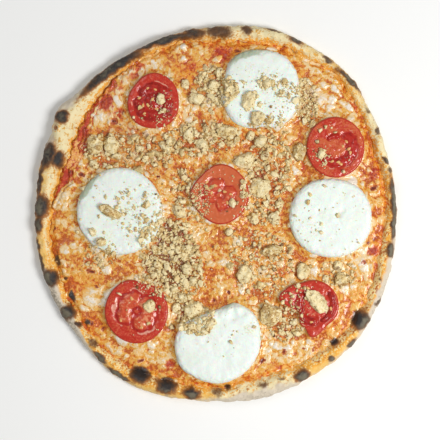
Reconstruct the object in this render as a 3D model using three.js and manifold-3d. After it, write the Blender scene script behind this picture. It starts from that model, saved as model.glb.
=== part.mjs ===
// Ricotta pizza, baked thin: a dough base with a puffed rim, a film of tomato sauce, melted cheese strewn
// with chopped walnuts, four rounds of ricotta, five tomato slices and the largest pieces of walnut.
// Millimetres, +Z up. The origin is the centre of the underside.
import * as THREE from "three";
import { mergeVertices } from "three/addons/utils/BufferGeometryUtils.js";
import Module from "manifold-3d";

const wasm = await Module();
wasm.setup();
const { degToRad, radToDeg, euclideanModulo, lerp } = THREE.MathUtils;

// Room left between pieces that touch
const GAP = 0.3;

// Dough: the two edges of its rim are tables of [degrees from +X, radius]
const DOUGH_THICKNESS = 4;
const DOUGH_SEGMENTS = 96;
const OUTER_EDGE = [
  [0, 149.6], [15, 150.4], [30, 152.8], [45, 158.4], [60, 159.4], [75, 159.6], [90, 154.8], [105, 152],
  [122, 150], [138, 152.2], [147, 156.5], [155, 152], [180, 149.6], [195, 151.8], [225, 154.1],
  [240, 158.9], [255, 157.9], [270, 156.5], [287, 159], [300, 157.4], [315, 158], [330, 155.2],
  [345, 152.1],
];
const RIM_FOOT = [
  [0, 140.4], [20, 140.4], [35, 145.2], [50, 151.5], [60, 148.5], [75, 147], [90, 142], [105, 143.3],
  [120, 141.4], [135, 137], [145, 133.6], [155, 130.2], [163, 130.2], [172, 133.5], [185, 137.6],
  [200, 138.9], [215, 142], [230, 145.4], [242, 145.6], [256, 142.5], [270, 143.5], [283, 140],
  [300, 141.6], [315, 143.5], [330, 142.8], [345, 138.8],
];
const RIM_LOW = 7.5; // crest height that a rim of no width would have
const RIM_PUFF = 0.25; // further height for each millimetre of the rim's width
const RIM_WAVE = 1; // how far the crest rises and falls along the rim
const RIM_BLISTERS = [[20, 1.2, 7], [70, 1.4, 6], [118, 1, 8], [152, 1.6, 4], [245, 1.4, 5], [316, 1.2, 5]];
const UNDERSIDE_INSET = 5; // from the outer edge to the flat underside
const OUTER_WALL = [[1.2, 0.15], [0, 0.42]]; // [inset from the outer edge, share of the crest height]
const RIM_TOP = [[0.93, 0.72], [0.78, 0.93], [0.56, 1], [0.33, 0.88], [0.13, 0.6], [0, 0.35]]; // foot is 0
const FOOT_RUN = 2.5; // from the rim's foot to the flat of the dough

// Tomato sauce and melted cheese, both inside the rim's foot
const SAUCE_THICKNESS = 1;
const SAUCE_INSET = 2.8;
const SAUCE_PROFILE = [[0.4, 0], [0, 0.4], [1.2, 1]]; // [inset from the edge, share of the thickness]
const SAUCE_SEGMENTS = 72;
const CHEESE_THICKNESS = 2.4;
const CHEESE_INSET = 4.2;
const CHEESE_PROFILE = [[1.6, 0], [0, 0.4]];
const CHEESE_SHOULDER = 0.5;
const CHEESE_RINGS = 12;
const CHEESE_SEGMENTS = 72;
const CHEESE_DIP = 1.3; // depth of the hollows in the cheese
const CHEESE_RIPPLE = [7, 8]; // how quickly the hollows follow each other along X and Y
const CHEESE_DRIFT = [13, 11]; // how quickly they wander to the side
const BARE_SAUCE = [[141, 3, 5], [153, 7, 7], [167, 9, 5]]; // [degrees, retreat, half width in degrees]

// Tomato slices: outline as [degrees, radius], chambers of seeds as [x, y, length, width, degrees] and
// crumbs of walnut as [x, y, size], all about `at`
const TOMATO_THICKNESS = 4.5;
const TOMATO_PROFILE = [[0.8, 0], [0, 0.3], [0.2, 0.8], [1.1, 1]];
const TOMATO_SEGMENTS = 28;
const CHAMBER_DEPTH = 1.6;
const TOMATOES = [
  {
    at: [-52, 93],
    outline: [[0, 21.5], [45, 22.5], [90, 23], [135, 20], [180, 21], [225, 23], [270, 23], [315, 23.5]],
    chambers: [[-2, 8, 17, 7, -10], [-3, -7, 17, 7, 10]],
    crumbs: [[7, 1, 10], [15, 8, 4], [12, -9, 4], [-9, -15, 3.5]],
  },
  {
    at: [99, 54.5],
    outline: [[0, 24], [90, 25], [180, 24], [270, 25.3]],
    chambers: [[12, 0, 19, 7, 80], [-1, -13, 19, 7, 8], [0, 11, 15, 5, -15]],
    crumbs: [[-12, -6, 8], [-15, 4, 5], [-18, -3, 4]],
  },
  {
    at: [3.5, 15.5],
    outline: [[0, 24], [45, 24], [90, 25], [135, 22], [180, 24.5], [225, 23], [270, 25], [315, 24]],
    chambers: [[-8, 6, 15, 10, 60], [8, -4, 17, 10, 65]],
    crumbs: [[10.5, -6.5, 8], [-17, 2, 4], [-13, -10, 4.5]],
  },
  {
    at: [-65.5, -81.5],
    outline: [
      [0, 26], [45, 26.5], [75, 24], [105, 27], [150, 26.5], [180, 26.5], [225, 26], [270, 26.5], [315, 26],
    ],
    chambers: [[-7.5, 4, 25, 15, 60], [8, -5, 25, 14, 60]],
    crumbs: [[14, 14, 4.5], [19, 4, 3.5]],
  },
  {
    at: [81, -75],
    outline: [
      [0, 20.8], [20, 20.2], [52, 19.6], [84, 19.6], [120, 20.1], [149, 25.6], [172, 29], [188, 20.1],
      [210, 14], [237, 20.2], [252, 22.1], [266, 28], [298, 21.5], [326, 21.6],
    ],
    chambers: [[14, -2, 15, 5, -75], [-3, -16, 13, 6, -60]],
    crumbs: [[-19, 6, 5], [-8, 13, 4.5], [-24, 3, 4]],
  },
];

// Ricotta rounds, spooned flat: outline and crumbs as for the tomatoes
const RICOTTA_THICKNESS = 7;
const RICOTTA_PROFILE = [[2, 0], [0, 0.28], [0.8, 0.66], [3, 0.89], [7, 0.98], [18, 1]];
const RICOTTA_SEGMENTS = 36;
const RICOTTAS = [
  {
    at: [36, 102],
    outline: [
      [0, 33], [25, 34], [50, 34.5], [90, 33], [115, 34], [139, 33.5], [150, 31], [163, 28.5], [178, 24.5],
      [186, 26], [194, 32], [205, 31.5], [233, 34], [258, 32.5], [274, 31], [301, 34.5], [331, 35],
    ],
    crumbs: [[6, 5, 8], [-20, -1, 8], [-13, 6, 6], [20, -2, 5], [17, 8, 6], [11, -24, 6]],
  },
  {
    at: [-79.5, 1.5],
    outline: [[0, 35], [90, 36], [135, 35], [180, 35.5], [225, 35.5], [270, 36], [315, 36]],
    crumbs: [
      [23, 14, 7], [23, 6, 7], [-22, -17, 8], [-15, -25, 9], [9, -3, 6], [17, -9, 6], [3, -11, 6],
      [-11, 12, 5], [2, 15, 5], [26, -9, 6],
    ],
  },
  {
    at: [95, -4],
    outline: [
      [0, 34], [45, 34], [70, 33], [90, 32.3], [110, 33], [135, 34], [180, 34], [225, 33.5], [270, 32.6],
      [315, 34],
    ],
    crumbs: [[5, 2, 3.5]],
  },
  {
    at: [2, -109],
    outline: [
      [0, 35], [10, 35.5], [32, 38.5], [47, 39], [60, 38], [69, 37], [78, 33.5], [90, 29.5], [111, 27.5],
      [130, 29], [146, 33], [162, 35], [178, 36], [194, 36], [212, 36], [231, 33.5], [254, 32.3],
      [277, 31.8], [297, 31.3], [319, 32], [339, 33.2],
    ],
    crumbs: [[25, 14, 7], [30, 15, 5], [-14, 13, 9], [-5, 19, 9], [-22, 17, 7], [-8, 11, 5]],
  },
];

// The largest walnut pieces: size is length, width and height, and `on` names what carries each
const WALNUTS = [
  { at: [83.5, -73], size: [25, 11.5, 7], turn: -52, on: "tomato_5" },
  { at: [72.5, -48.5], size: [15, 10, 7], turn: 78, on: "melted_cheese" },
  { at: [45.5, -84.5], size: [19, 16, 8], turn: -20, on: "melted_cheese" },
  { at: [-18.5, -80.5], size: [16, 11, 7], turn: 22, on: "melted_cheese" },
  { at: [9, 67], size: [18, 11, 6], turn: -8, on: "melted_cheese" },
  { at: [23.5, 43], size: [18, 12, 7], turn: 5, on: "melted_cheese" },
  { at: [37.5, 20.5], size: [17, 15, 7], turn: 40, on: "melted_cheese" },
  { at: [27, 92], size: [17, 10.5, 7], turn: 78, on: "ricotta_1" },
  { at: [34.5, 78], size: [14, 11, 7], turn: 60, on: "ricotta_1" },
  { at: [69.5, 50.5], size: [15, 10, 8], turn: 78, on: "melted_cheese" },
  { at: [-100, 56], size: [14, 13, 8], turn: 30, on: "melted_cheese" },
  { at: [-87, 56], size: [15, 12, 7], turn: 70, on: "melted_cheese" },
  { at: [-87, 1], size: [20, 8.5, 6], turn: -25, on: "ricotta_2" },
  { at: [24, -50.5], size: [15, 13, 6], turn: 60, on: "melted_cheese" },
  { at: [-55, -77], size: [11, 10, 5.5], turn: 30, on: "tomato_4" },
  { at: [104.5, -55], size: [13, 9, 6], turn: -10, on: "melted_cheese" },
  { at: [-16.5, 95], size: [14, 10, 6], turn: -15, on: "melted_cheese" },
  { at: [47, -31], size: [20, 9, 6], turn: 12, on: "melted_cheese" },
];
const LUMP_FLAT = 0.5; // where the underside of a lump is flattened, as a share of its half height
const LUMP_CORNERS = [0.82, 1.15]; // how far the corners of a lump are pushed in or out
const SETTLE = 0.1; // share of a ricotta round's thickness that a piece may sink into its soft edge

// Chopped walnut fused to the cheese: the larger crumbs as [x, y, size], then ellipses that hold smaller
// ones, with how many each is offered
const LARGE_CRUMBS = [
  [29, 64, 9], [37, 59, 11], [-23, 66, 11], [-11, 57, 11], [-25, 106.5, 9], [-2, 106, 10],
  [5, 101.5, 6.5], [0, 94.5, 8], [3, 117, 9], [-92, 66.5, 6], [-101, 40, 8], [30, 32, 6.5], [41, 48, 9],
  [44, 8, 7], [53, 8, 8], [49, -4, 12], [32, -5, 10], [11, -16, 8], [-30, 1, 11], [-28, 10, 8],
  [-30, 17, 7], [-27, 31, 8], [-24, -46, 10], [100.5, -44, 9], [62, -83.5, 7], [65, -91, 7.5],
  [67.5, -100, 8], [-27, -70, 9], [-33, -78, 9], [-37.5, -95, 7], [-92, -39, 8], [-100, -36, 5],
];
const CRUMB_FIELDS = [
  { at: [-74, 52], reach: [36, 15], turn: -5, count: 46, size: [4.5, 8] },
  { at: [-37, -40], reach: [24, 32], turn: 20, count: 90, size: [4.5, 8] },
  { at: [-14, 62], reach: [28, 13], turn: 5, count: 34, size: [4.5, 7] },
  { at: [-6, 104], reach: [12, 16], turn: 0, count: 16, size: [4.5, 7] },
  { at: [42, 30], reach: [16, 36], turn: -10, count: 44, size: [4.5, 7] },
  { at: [74, 92], reach: [8, 18], turn: 5, count: 18, size: [4, 5.5] },
  { at: [38, -42], reach: [24, 26], turn: 0, count: 24, size: [4.5, 7] },
];
const CRUMB_BODY = [1.15, 0.9, 0.55]; // length, width and height of a crumb of size 1
const CRUMB_SINK = 0.7; // how far a crumb is set into what it lies on
const CRUMB_REACH = 0.62; // how far a crumb of size 1 may reach from its middle
const CRUMB_SPACING = 0.42; // share of two sizes that keeps two crumbs apart
const CRUMB_SKEW = 1.6; // above 1, small crumbs outnumber large ones
const ROUND_CRUMB = 7; // size above which a crumb has twenty sides, with eight below it
const SEEDS = { cheeseCrumbs: 20, ricotta: 40, tomato: 60, walnut: 80 };

const FINISHES = {
  dough: { color: 0xdcb67c, roughness: 0.85 },
  sauce: { color: 0xa8331a, roughness: 0.45 },
  cheese: { color: 0xe3b37e, roughness: 0.4 },
  ricotta: { color: 0xf3f4ee, roughness: 0.45 },
  tomato: { color: 0xc0332a, roughness: 0.3 },
  walnut: { color: 0xd3bd8a, roughness: 0.75 },
};

// Heights of the layers, from the dough up
const SAUCE_BASE = DOUGH_THICKNESS + GAP;
const CHEESE_BASE = SAUCE_BASE + SAUCE_THICKNESS + GAP;
const CHEESE_TOP = CHEESE_BASE + CHEESE_THICKNESS;
const SLICE_BASE = CHEESE_TOP + GAP;
const TOMATO_TOP = SLICE_BASE + TOMATO_THICKNESS;
const RICOTTA_TOP = SLICE_BASE + RICOTTA_THICKNESS;

// Repeatable random numbers from 0 to 1.
function seeded(seed) {
  let state = seed;
  return () => {
    state = (Math.imul(state, 1664525) + 1013904223) >>> 0;
    return state / 2 ** 32;
  };
}

// Value at an angle on the smooth closed curve through [degrees, value] pairs that start at 0 degrees.
function around(table, angle) {
  const turn = euclideanModulo(radToDeg(angle), 360);
  const entry = (k) => {
    const [degrees, value] = table[euclideanModulo(k, table.length)];
    return [degrees + 360 * Math.floor(k / table.length), value];
  };
  const k = table.findLastIndex(([degrees]) => degrees <= turn);
  const [[a0, v0], [a1, v1], [a2, v2], [a3, v3]] = [entry(k - 1), entry(k), entry(k + 1), entry(k + 2)];
  const span = a2 - a1;
  const t = (turn - a1) / span;
  const startSlope = ((v2 - v0) / (a2 - a0)) * span;
  const endSlope = ((v3 - v1) / (a3 - a1)) * span;
  const fromValues = v1 * (2 * t ** 3 - 3 * t ** 2 + 1) + v2 * (3 * t ** 2 - 2 * t ** 3);
  return fromValues + startSlope * (t ** 3 - 2 * t ** 2 + t) + endSlope * (t ** 3 - t ** 2);
}

// Sum at an angle of smooth humps, each [degrees, height, half width in degrees].
function humps(table, angle) {
  return table.reduce((sum, [degrees, height, width]) => {
    const away = euclideanModulo(radToDeg(angle) - degrees + 180, 360) - 180;
    return sum + height * Math.exp(-((away / width) ** 2));
  }, 0);
}

// A closed body whose rings follow place(ring, angle), which gives [radius, height]. Rings run from the
// centre of the underside out to the edge and back to the centre of the top.
function ringBody(ringCount, segments, place) {
  const profile = Array.from({ length: ringCount }, (_, ring) => new THREE.Vector2(1, ring));
  const geometry = new THREE.LatheGeometry(profile, segments);
  const position = geometry.getAttribute("position");
  for (let i = 0; i < position.count; i++) {
    const column = Math.floor(i / ringCount) % segments;
    const angle = (2 * Math.PI * column) / segments;
    const [radius, height] = place(i % ringCount, angle);
    position.setXYZ(i, radius * Math.cos(angle), radius * Math.sin(angle), height);
  }
  return geometry;
}

// A flat layer with the given edge: its profile holds [inset from the edge, share of the thickness].
function layerBody(edgeAt, profile, segments, base, thickness) {
  const place = (ring, angle) => {
    if (ring === 0) return [0, base];
    if (ring > profile.length) return [0, base + thickness];
    const [inset, share] = profile[ring - 1];
    return [edgeAt(angle) - inset, base + share * thickness];
  };
  return ringBody(profile.length + 2, segments, place);
}

// Position and triangles alone, with shared corners merged.
function bareGeometry(geometry) {
  const bare = new THREE.BufferGeometry().setAttribute("position", geometry.getAttribute("position"));
  return mergeVertices(bare.setIndex(geometry.getIndex()));
}

// A closed geometry as a solid that can be joined and cut, without the flat triangles at its poles.
function solid(geometry) {
  const bare = bareGeometry(geometry);
  const triVerts = [];
  for (let i = 0; i < bare.index.count; i += 3) {
    const corners = [0, 1, 2].map((k) => bare.index.getX(i + k));
    if (new Set(corners).size === 3) triVerts.push(...corners);
  }
  const vertProperties = bare.getAttribute("position").array;
  const mesh = new wasm.Mesh({ numProp: 3, vertProperties, triVerts: new Uint32Array(triVerts) });
  return new wasm.Manifold(mesh);
}

function geometryOf(body) {
  const mesh = body.getMesh();
  const geometry = new THREE.BufferGeometry();
  geometry.setAttribute("position", new THREE.BufferAttribute(mesh.vertProperties, 3));
  geometry.setIndex(new THREE.BufferAttribute(mesh.triVerts, 1));
  geometry.computeVertexNormals();
  return geometry;
}

const joined = (bodies) => bodies.reduce((whole, body) => whole.add(body));

// A lump of nut standing on `base`: a polyhedron with uneven corners and a flattened underside.
function lump(shape, [length, width, height], turn, [x, y], base, random) {
  const geometry = bareGeometry(shape);
  const position = geometry.getAttribute("position");
  const corner = new THREE.Vector3();
  for (let i = 0; i < position.count; i++) {
    corner.fromBufferAttribute(position, i).multiplyScalar(lerp(...LUMP_CORNERS, random()));
    position.setXYZ(i, corner.x, corner.y, Math.max(corner.z, -LUMP_FLAT) + LUMP_FLAT);
  }
  geometry.scale(length / 2, width / 2, height / (1 + LUMP_FLAT));
  return solid(geometry.rotateZ(degToRad(turn)).translate(x, y, base));
}

function crumb(size, turn, at, surface, random) {
  const shape = size > ROUND_CRUMB ? new THREE.IcosahedronGeometry(1) : new THREE.OctahedronGeometry(1);
  const [length, width, height] = CRUMB_BODY.map((share) => share * size);
  return lump(shape, [length, width, height + CRUMB_SINK], turn, at, surface - CRUMB_SINK, random);
}

// Height of the rim's crest: greatest where the rim is wide, with waves and blisters along it.
function crestHeight(angle) {
  const width = around(OUTER_EDGE, angle) - around(RIM_FOOT, angle);
  const wave = (Math.sin(7 * angle) + Math.sin(16 * angle + 1)) / 2;
  return RIM_LOW + RIM_PUFF * width + RIM_WAVE * wave + humps(RIM_BLISTERS, angle);
}

function makeCrust() {
  const place = (ring, angle) => {
    const outer = around(OUTER_EDGE, angle);
    const foot = around(RIM_FOOT, angle);
    const crest = crestHeight(angle);
    return [
      [0, 0],
      [outer - UNDERSIDE_INSET, 0],
      ...OUTER_WALL.map(([inset, share]) => [outer - inset, share * crest]),
      ...RIM_TOP.map(([share, rise]) => [lerp(foot, outer, share), rise * crest]),
      [foot - FOOT_RUN, DOUGH_THICKNESS],
      [0, DOUGH_THICKNESS],
    ][ring];
  };
  const ringCount = OUTER_WALL.length + RIM_TOP.length + 4;
  return solid(ringBody(ringCount, DOUGH_SEGMENTS, place));
}

function makeSauce() {
  const edgeAt = (angle) => around(RIM_FOOT, angle) - SAUCE_INSET;
  return solid(layerBody(edgeAt, SAUCE_PROFILE, SAUCE_SEGMENTS, SAUCE_BASE, SAUCE_THICKNESS));
}

function cheeseEdge(angle) {
  return around(RIM_FOOT, angle) - CHEESE_INSET - humps(BARE_SAUCE, angle);
}

// Height of the melted surface, which never rises above the level that the slices lie on.
function cheeseHeight(x, y) {
  const along = Math.sin(x / CHEESE_RIPPLE[0] + Math.sin(y / CHEESE_DRIFT[0]));
  const across = Math.sin(y / CHEESE_RIPPLE[1] - Math.sin(x / CHEESE_DRIFT[1]));
  return CHEESE_TOP - (CHEESE_DIP * (2 - along - across)) / 4;
}

function makeBareCheese() {
  const lowerRings = CHEESE_PROFILE.length + 1;
  const place = (ring, angle) => {
    const edge = cheeseEdge(angle);
    if (ring === 0) return [0, CHEESE_BASE];
    if (ring < lowerRings) {
      const [inset, share] = CHEESE_PROFILE[ring - 1];
      return [edge - inset, CHEESE_BASE + share * CHEESE_THICKNESS];
    }
    const inward = (ring - lowerRings) / (CHEESE_RINGS - 1);
    const radius = (edge - CHEESE_SHOULDER) * (1 - inward);
    return [radius, cheeseHeight(radius * Math.cos(angle), radius * Math.sin(angle))];
  };
  return solid(ringBody(lowerRings + CHEESE_RINGS, CHEESE_SEGMENTS, place));
}

// How far a point lies outside the outline of a slice, or outside a walnut piece taken as an ellipse.
function outsideBy({ at, outline, size, turn }, x, y) {
  const [dx, dy] = [x - at[0], y - at[1]];
  const angle = Math.atan2(dy, dx);
  if (outline) return Math.hypot(dx, dy) - around(outline, angle);
  const along = angle - degToRad(turn);
  const inverse = Math.hypot(Math.cos(along) / size[0], Math.sin(along) / size[1]);
  return Math.hypot(dx, dy) - LUMP_CORNERS[1] / (2 * inverse);
}

function offeredCrumbs(random) {
  return CRUMB_FIELDS.flatMap(({ at, reach, turn, count, size }) =>
    Array.from({ length: count }, () => {
      const [radius, angle] = [Math.sqrt(random()), 2 * Math.PI * random()];
      const spot = new THREE.Vector2(reach[0] * Math.cos(angle), reach[1] * Math.sin(angle));
      spot.multiplyScalar(radius).rotateAround(new THREE.Vector2(), degToRad(turn));
      const grown = lerp(...size, random() ** CRUMB_SKEW);
      return { x: at[0] + spot.x, y: at[1] + spot.y, size: grown, turn: 360 * random() };
    }),
  );
}

// Crumbs for the cheese, the largest first, clear of the slices, the larger pieces and each other.
function cheeseCrumbs() {
  const random = seeded(SEEDS.cheeseCrumbs);
  const large = LARGE_CRUMBS.map(([x, y, size]) => ({ x, y, size, turn: 360 * random() }));
  const small = offeredCrumbs(random).sort((a, b) => b.size - a.size);
  const kept = [];
  for (const offer of [...large, ...small]) {
    const { x, y, size } = offer;
    const room = CRUMB_REACH * size + GAP;
    const apart = (other) => Math.hypot(x - other.x, y - other.y) > CRUMB_SPACING * (size + other.size);
    const fits =
      [...TOMATOES, ...RICOTTAS, ...WALNUTS].every((other) => outsideBy(other, x, y) > room) &&
      kept.every(apart) &&
      Math.hypot(x, y) < cheeseEdge(Math.atan2(y, x)) - room - CHEESE_SHOULDER;
    if (fits) kept.push(offer);
  }
  return kept.map(({ x, y, size, turn }) => crumb(size, turn, [x, y], cheeseHeight(x, y), random));
}

// Crumbs that lie on the flat top of a slice.
function sliceCrumbs({ at, crumbs }, top, seed) {
  const random = seeded(seed);
  return crumbs.map(([x, y, size]) => crumb(size, 360 * random(), [at[0] + x, at[1] + y], top, random));
}

function makeTomato(slice, seed) {
  const edgeAt = (angle) => around(slice.outline, angle);
  const layer = layerBody(edgeAt, TOMATO_PROFILE, TOMATO_SEGMENTS, SLICE_BASE, TOMATO_THICKNESS);
  const chambers = slice.chambers.map(([x, y, length, width, degrees]) => {
    const hollow = new THREE.SphereGeometry(1, 12, 6).rotateX(Math.PI / 2);
    hollow.scale(length / 2, width / 2, CHAMBER_DEPTH).rotateZ(degToRad(degrees));
    return solid(hollow.translate(slice.at[0] + x, slice.at[1] + y, TOMATO_TOP));
  });
  const flesh = solid(layer.translate(...slice.at, 0)).subtract(joined(chambers));
  return joined([flesh, ...sliceCrumbs(slice, TOMATO_TOP, seed)]);
}

function makeRicotta(round, seed) {
  const edgeAt = (angle) => around(round.outline, angle);
  const layer = layerBody(edgeAt, RICOTTA_PROFILE, RICOTTA_SEGMENTS, SLICE_BASE, RICOTTA_THICKNESS);
  return joined([solid(layer.translate(...round.at, 0)), ...sliceCrumbs(round, RICOTTA_TOP, seed)]);
}

// A large piece of walnut, cut away below so that it rests on what carries it.
function makeWalnut({ at, size, turn }, carrier, seed) {
  const whole = lump(new THREE.DodecahedronGeometry(1), size, turn, at, carrier.lowest, seeded(seed));
  return whole.subtract(solid(geometryOf(carrier.body).translate(0, 0, GAP)));
}

const pizza = new THREE.Group();

function addPiece(name, body, finish) {
  const material = new THREE.MeshStandardMaterial({ ...finish, metalness: 0 });
  const mesh = new THREE.Mesh(geometryOf(body), material);
  mesh.name = name;
  pizza.add(mesh);
}

const bareCheese = makeBareCheese();
const carriers = { melted_cheese: { body: bareCheese, lowest: CHEESE_TOP - CHEESE_DIP } };
addPiece("crust", makeCrust(), FINISHES.dough);
addPiece("tomato_sauce", makeSauce(), FINISHES.sauce);
addPiece("melted_cheese", joined([bareCheese, ...cheeseCrumbs()]), FINISHES.cheese);

RICOTTAS.forEach((round, i) => {
  const name = `ricotta_${i + 1}`;
  const body = makeRicotta(round, SEEDS.ricotta + i);
  carriers[name] = { body, lowest: RICOTTA_TOP - SETTLE * RICOTTA_THICKNESS };
  addPiece(name, body, FINISHES.ricotta);
});

TOMATOES.forEach((slice, i) => {
  const name = `tomato_${i + 1}`;
  const body = makeTomato(slice, SEEDS.tomato + i);
  carriers[name] = { body, lowest: TOMATO_TOP - CHAMBER_DEPTH };
  addPiece(name, body, FINISHES.tomato);
});

WALNUTS.forEach((piece, i) => {
  const name = `walnut_${String(i + 1).padStart(2, "0")}`;
  addPiece(name, makeWalnut(piece, carriers[piece.on], SEEDS.walnut + i), FINISHES.walnut);
});

export default pizza;
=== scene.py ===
import math

import bmesh
import bpy
import numpy as np
from mathutils import Matrix, Vector, noise
from mathutils.bvhtree import BVHTree


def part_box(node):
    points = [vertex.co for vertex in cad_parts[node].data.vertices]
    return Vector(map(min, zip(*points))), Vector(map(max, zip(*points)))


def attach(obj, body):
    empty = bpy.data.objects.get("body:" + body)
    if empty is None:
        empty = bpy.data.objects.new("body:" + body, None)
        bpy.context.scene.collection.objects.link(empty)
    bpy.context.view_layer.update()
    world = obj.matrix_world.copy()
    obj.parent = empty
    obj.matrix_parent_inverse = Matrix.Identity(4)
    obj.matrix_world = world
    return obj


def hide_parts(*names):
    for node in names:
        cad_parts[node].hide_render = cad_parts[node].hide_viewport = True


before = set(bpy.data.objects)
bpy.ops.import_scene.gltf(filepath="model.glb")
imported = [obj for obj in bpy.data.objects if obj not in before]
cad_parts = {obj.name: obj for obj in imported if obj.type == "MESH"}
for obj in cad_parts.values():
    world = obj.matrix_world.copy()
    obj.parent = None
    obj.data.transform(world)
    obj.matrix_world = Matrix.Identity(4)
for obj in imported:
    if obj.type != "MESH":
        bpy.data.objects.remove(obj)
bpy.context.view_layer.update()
mm = 0.001  # the plans below are in millimetres, Blender is in metres
fullTurn = 2 * math.pi
noiseRing = 60  # radius of the circle on which the unevenness of an edge is read


# Shape helpers

def smooth(low, high, value):  # soft step from 0 at low to 1 at high
    t = np.clip((value - low) / (high - low), 0, 1)
    return t * t * (3 - 2 * t)


def around(table, angle):  # smooth closed curve through [degrees, value] pairs that start at 0 degrees
    degrees, values = np.array(table, float).T
    turn = np.degrees(angle) % 360
    first = np.searchsorted(degrees, turn, side="right") - 1
    near = [first + step for step in (-1, 0, 1, 2)]
    a0, a1, a2, a3 = [degrees[k % len(degrees)] + 360 * (k // len(degrees)) for k in near]
    v0, v1, v2, v3 = [values[k % len(degrees)] for k in near]
    span = a2 - a1
    t = (turn - a1) / span
    startSlope = (v2 - v0) / (a2 - a0) * span
    endSlope = (v3 - v1) / (a3 - a1) * span
    between = v1 * (2 * t**3 - 3 * t**2 + 1) + v2 * (3 * t**2 - 2 * t**3)
    return between + startSlope * (t**3 - 2 * t**2 + t) + endSlope * (t**3 - t**2)


def polar(radius, angle):  # x and y
    return radius * np.cos(angle), radius * np.sin(angle)


def humps(table, angle):  # sum of soft humps, each [degrees, height, half width in degrees]
    total = np.zeros_like(angle)
    for degrees, height, width in table:
        away = (np.degrees(angle) - degrees + 180) % 360 - 180
        total += height * np.exp(-((away / width) ** 2))
    return total


def curveThrough(stations, place):  # smooth curve through stations of shape (count, points, 2)
    last = len(stations) - 1
    k = np.minimum(place.astype(int), last - 1)
    t = (place - k)[:, None]
    column = np.arange(len(place))
    p0, p1, p2, p3 = [stations[np.clip(k + step, 0, last), column] for step in (-1, 0, 1, 2)]
    bend = (2 * p0 - 5 * p1 + 4 * p2 - p3) * t**2 + (3 * p1 - p0 - 3 * p2 + p3) * t**3
    return p1 + ((p2 - p0) * t + bend) / 2


def grain(x, y, z, size, octaves=3):  # uneven field of about -1 to 1, with features of that size
    points = np.stack(np.broadcast_arrays(x, y, z), -1) / size
    return np.array([noise.fractal(point, 1.0, 2.0, octaves) for point in points.tolist()])


def warped(x, y, amount, size, level):  # points pushed about, so that outlines wander
    return x + amount * grain(x, y, level, size), y + amount * grain(x, y, level + 30, size)


toneSpread, tiltSpread = 5.7, 3.1  # these set the noise of neighbouring cells well apart


def facets(x, y, z, size):  # broken faces: every cell has its own level, tilt and tone
    points = np.stack(np.broadcast_arrays(x, y, z), -1) / size
    rises, tones = [], []
    for point in points.tolist():
        place = Vector(point)
        centre = noise.voronoi(place)[1][0]
        tones.append(noise.noise(centre * toneSpread))
        rises.append(0.5 * tones[-1] + noise.noise_vector(centre * tiltSpread).dot(place - centre))
    return np.array(rises), np.array(tones)


def curds(x, y, size):  # melted lumps: 0 in the seams to 1 on top, and the tone of each lump
    points = np.stack([x, y, 0 * x], -1) / size
    tops, tones = [], []
    for point in points.tolist():
        distances, centres = noise.voronoi(Vector(point))
        tops.append(distances[1] - distances[0])
        tones.append(noise.noise(centres[0] * toneSpread))
    return smooth(0, 0.25, np.array(tops)), np.array(tones)


def softSpots(spots, x, y):  # strongest of soft round spots, each [x, y, radius, strength]
    total = np.zeros_like(x)
    for spotX, spotY, radius, strength in spots:
        away = np.hypot(x - spotX, y - spotY) / radius
        total = np.maximum(total, strength * smooth(1.5, 0.4, away))
    return total


def placesOf(body):  # x, y and z of every vertex, in millimetres
    return np.array([vert.co for vert in body.verts]).T / mm


def spunBody(rings, segments, place):  # a closed body of rings, each vertex set by place(ring, angle)
    body = bmesh.new()
    line = [body.verts.new((1, 0, ring)) for ring in range(rings)]
    for pair in zip(line, line[1:]):
        body.edges.new(pair)
    outline = body.verts[:] + body.edges[:]
    bmesh.ops.spin(body, geom=outline, axis=(0, 0, 1), angle=fullTurn, steps=segments, use_merge=True)
    tube = np.array([vert.co for vert in body.verts])
    placed = place(np.rint(tube[:, 2]).astype(int), np.arctan2(tube[:, 1], tube[:, 0])) * mm
    for vert, spot in zip(body.verts, placed.tolist()):
        vert.co = spot
    bmesh.ops.remove_doubles(body, verts=body.verts, dist=1e-8)  # closes both poles
    bmesh.ops.recalc_face_normals(body, faces=body.faces)
    return body


def pushOut(body, amounts):  # moves every vertex along its normal, in millimetres
    body.normal_update()
    moves = [vert.normal * amount * mm for vert, amount in zip(body.verts, amounts)]
    for vert, move in zip(body.verts, moves):
        vert.co += move


def addPiece(mesh, material, fields):  # a smooth piece whose fields lie on its vertices
    mesh.polygons.foreach_set("use_smooth", [True] * len(mesh.polygons))
    for field, values in fields.items():
        attribute = mesh.attributes.new(field, "FLOAT", "POINT")
        attribute.data.foreach_set("value", np.asarray(values, np.float32))
    mesh.materials.append(material)
    piece = bpy.data.objects.new(mesh.name, mesh)
    bpy.context.collection.objects.link(piece)
    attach(piece, "root")
    print(f"{mesh.name}: {len(mesh.polygons)} faces")
    return piece


def finishPiece(name, body, material, nodes, fields):  # a piece that stands in for solids
    mesh = bpy.data.meshes.new(name)
    body.to_mesh(mesh)
    piece = addPiece(mesh, material, fields)
    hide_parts(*nodes)


# Material helpers

def linear(hexColour):  # sRGB hex to the linear colour that a shader reads
    channels = [int(hexColour[i:i + 2], 16) / 255 for i in (1, 3, 5)]
    return [c / 12.92 if c <= 0.04045 else ((c + 0.055) / 1.055) ** 2.4 for c in channels] + [1]


def addNode(tree, kind, inputs=None, settings=None, output=0):  # sets and links one node, gives one output
    node = tree.nodes.new("ShaderNode" + kind)
    for key, value in (settings or {}).items():
        setattr(node, key, value)
    for key, value in (inputs or {}).items():
        if isinstance(value, bpy.types.NodeSocket):
            tree.links.new(value, node.inputs[key])
        else:
            node.inputs[key].default_value = value
    return node.outputs[output]


def startMaterial(name, values):
    material = bpy.data.materials.new(name)
    material.use_nodes = True
    shader = material.node_tree.nodes["Principled BSDF"]
    for key, value in values.items():
        shader.inputs[key].default_value = value
    return material, shader


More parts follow.
